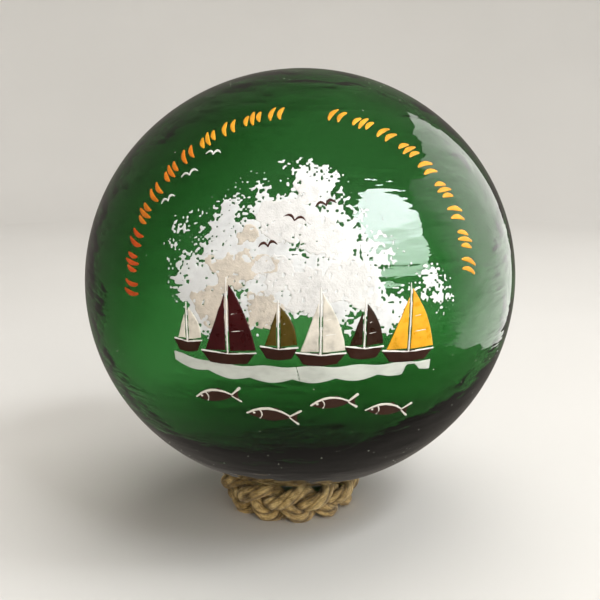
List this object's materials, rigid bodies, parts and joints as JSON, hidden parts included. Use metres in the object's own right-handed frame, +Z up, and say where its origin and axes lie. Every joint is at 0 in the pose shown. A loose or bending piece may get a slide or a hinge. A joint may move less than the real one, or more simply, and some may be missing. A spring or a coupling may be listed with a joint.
{
  "type": "glass fishing float ball",
  "caption": "Sealed ball of blown green glass with a painted cloud, boats and fish, standing on a plaited rope ring.",
  "frame": {"origin": "on the table under the middle of the ball, at the bottom centre of the whole object's box", "axes": "+Z up; the painted side of the ball faces -Y; +X is to the right for a viewer who faces the painting"},
  "size_m": [0.1998, 0.2, 0.2083],
  "materials": {
    "glass": "gloss",
    "rope": "matte",
    "paint": "satin"
  },
  "bodies": {
    "root": {"glass_float": "glass", "rope_ring": "rope"}
  },
  "joints": []
}
